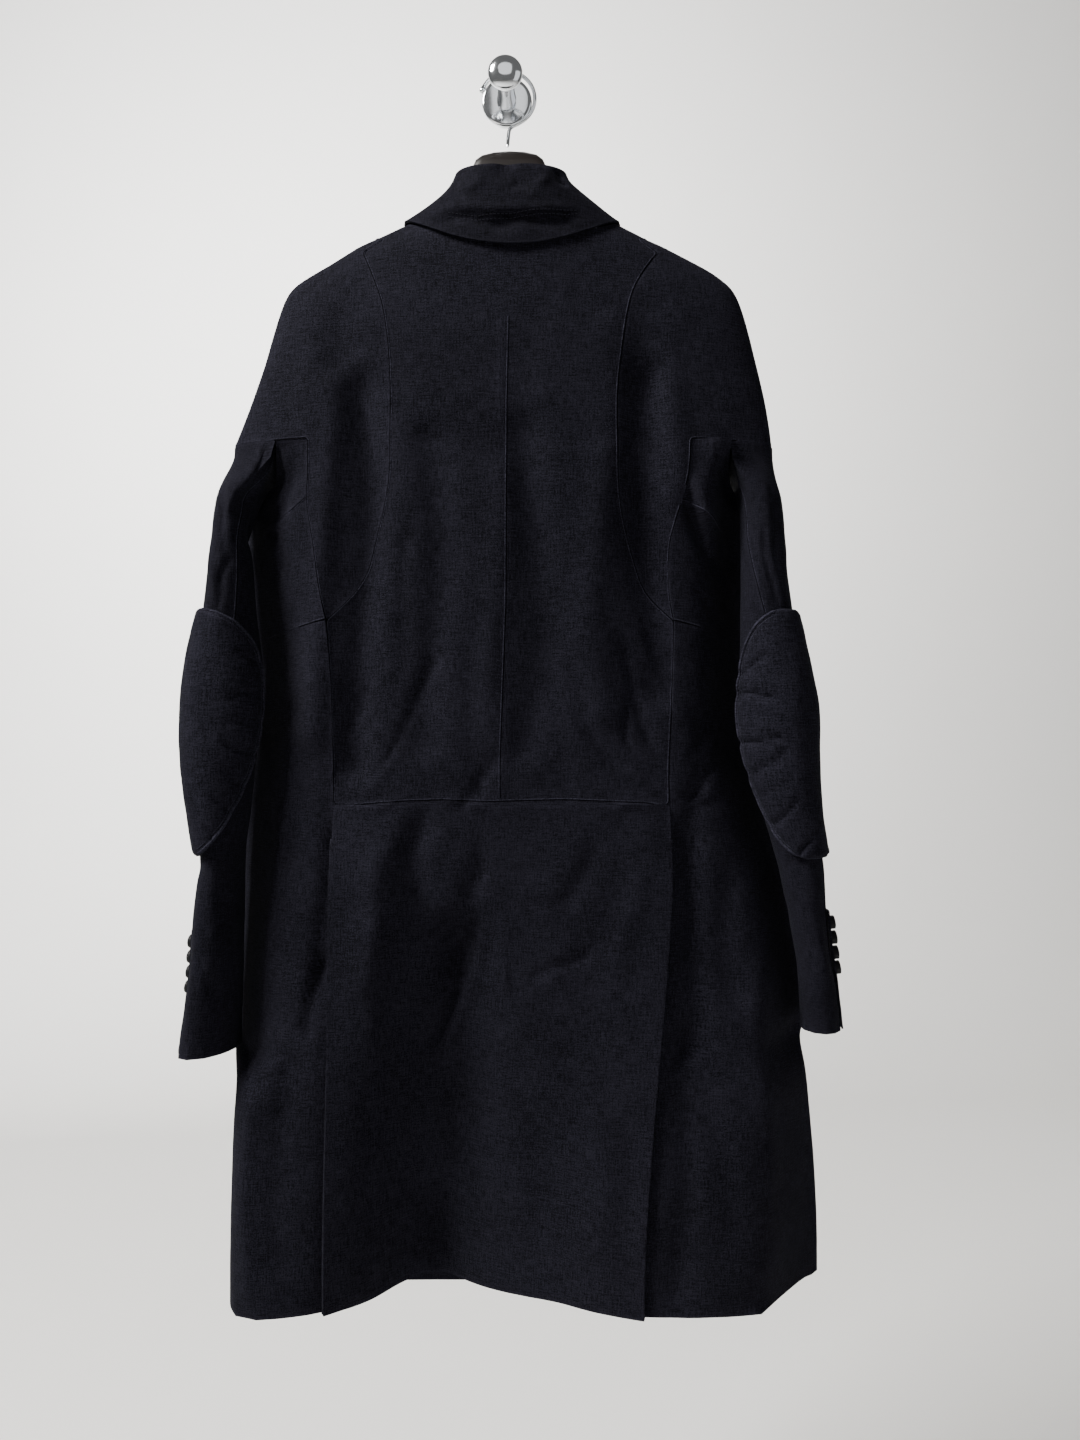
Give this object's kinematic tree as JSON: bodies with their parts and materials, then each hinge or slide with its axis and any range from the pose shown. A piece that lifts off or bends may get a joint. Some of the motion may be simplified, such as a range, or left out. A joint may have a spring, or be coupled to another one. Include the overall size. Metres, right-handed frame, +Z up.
{
  "type": "overcoat on a hanger",
  "caption": "Long dark woven overcoat with pleated back skirt and padded elbow patches, hung back to the room from a wooden hanger on a round chrome wall hook.",
  "frame": {"origin": "middle of the wall plate's back face, where it meets the wall", "axes": "+Z up; +Y into the wall, so the coat's back faces -Y; +X to the right as seen from the room"},
  "size_m": [0.621, 0.1055, 1.197],
  "materials": {
    "overcoat_cloth": "matte blue-black plain weave with a slubby, linen-like yarn",
    "patch_cloth": "the same weave, padded and piped round its edge",
    "covered_button": "dark, slightly glossy button",
    "dark_wood": "dark brown satin lacquer",
    "chrome": "polished"
  },
  "bodies": {
    "root": {"back": "overcoat_cloth", "back_skirt": "overcoat_cloth", "collar": "overcoat_cloth", "cuff_button_left_1": "covered_button", "cuff_button_left_2": "covered_button", "cuff_button_left_3": "covered_button", "cuff_button_left_4": "covered_button", "cuff_button_right_1": "covered_button", "cuff_button_right_2": "covered_button", "cuff_button_right_3": "covered_button", "cuff_button_right_4": "covered_button", "cuff_vent_left": "overcoat_cloth", "cuff_vent_right": "overcoat_cloth", "elbow_patch_left": "patch_cloth", "elbow_patch_right": "patch_cloth", "front_button_1": "covered_button", "front_button_2": "covered_button", "front_button_3": "covered_button", "front_button_4": "covered_button", "front_button_5": "covered_button", "front_left": "overcoat_cloth", "front_right": "overcoat_cloth", "gusset_left": "overcoat_cloth", "gusset_right": "overcoat_cloth", "hanger_body": "dark_wood", "saddle_left": "overcoat_cloth", "saddle_right": "overcoat_cloth", "shoulder_front_left": "overcoat_cloth", "shoulder_front_right": "overcoat_cloth", "side_left": "overcoat_cloth", "side_right": "overcoat_cloth", "sleeve_left": "overcoat_cloth", "sleeve_right": "overcoat_cloth", "underarm_left": "overcoat_cloth", "underarm_right": "overcoat_cloth", "undersleeve_left": "overcoat_cloth", "undersleeve_right": "overcoat_cloth", "wall_hook": "chrome", "wall_plate": "chrome", "wire_hook": "chrome"}
  },
  "joints": []
}
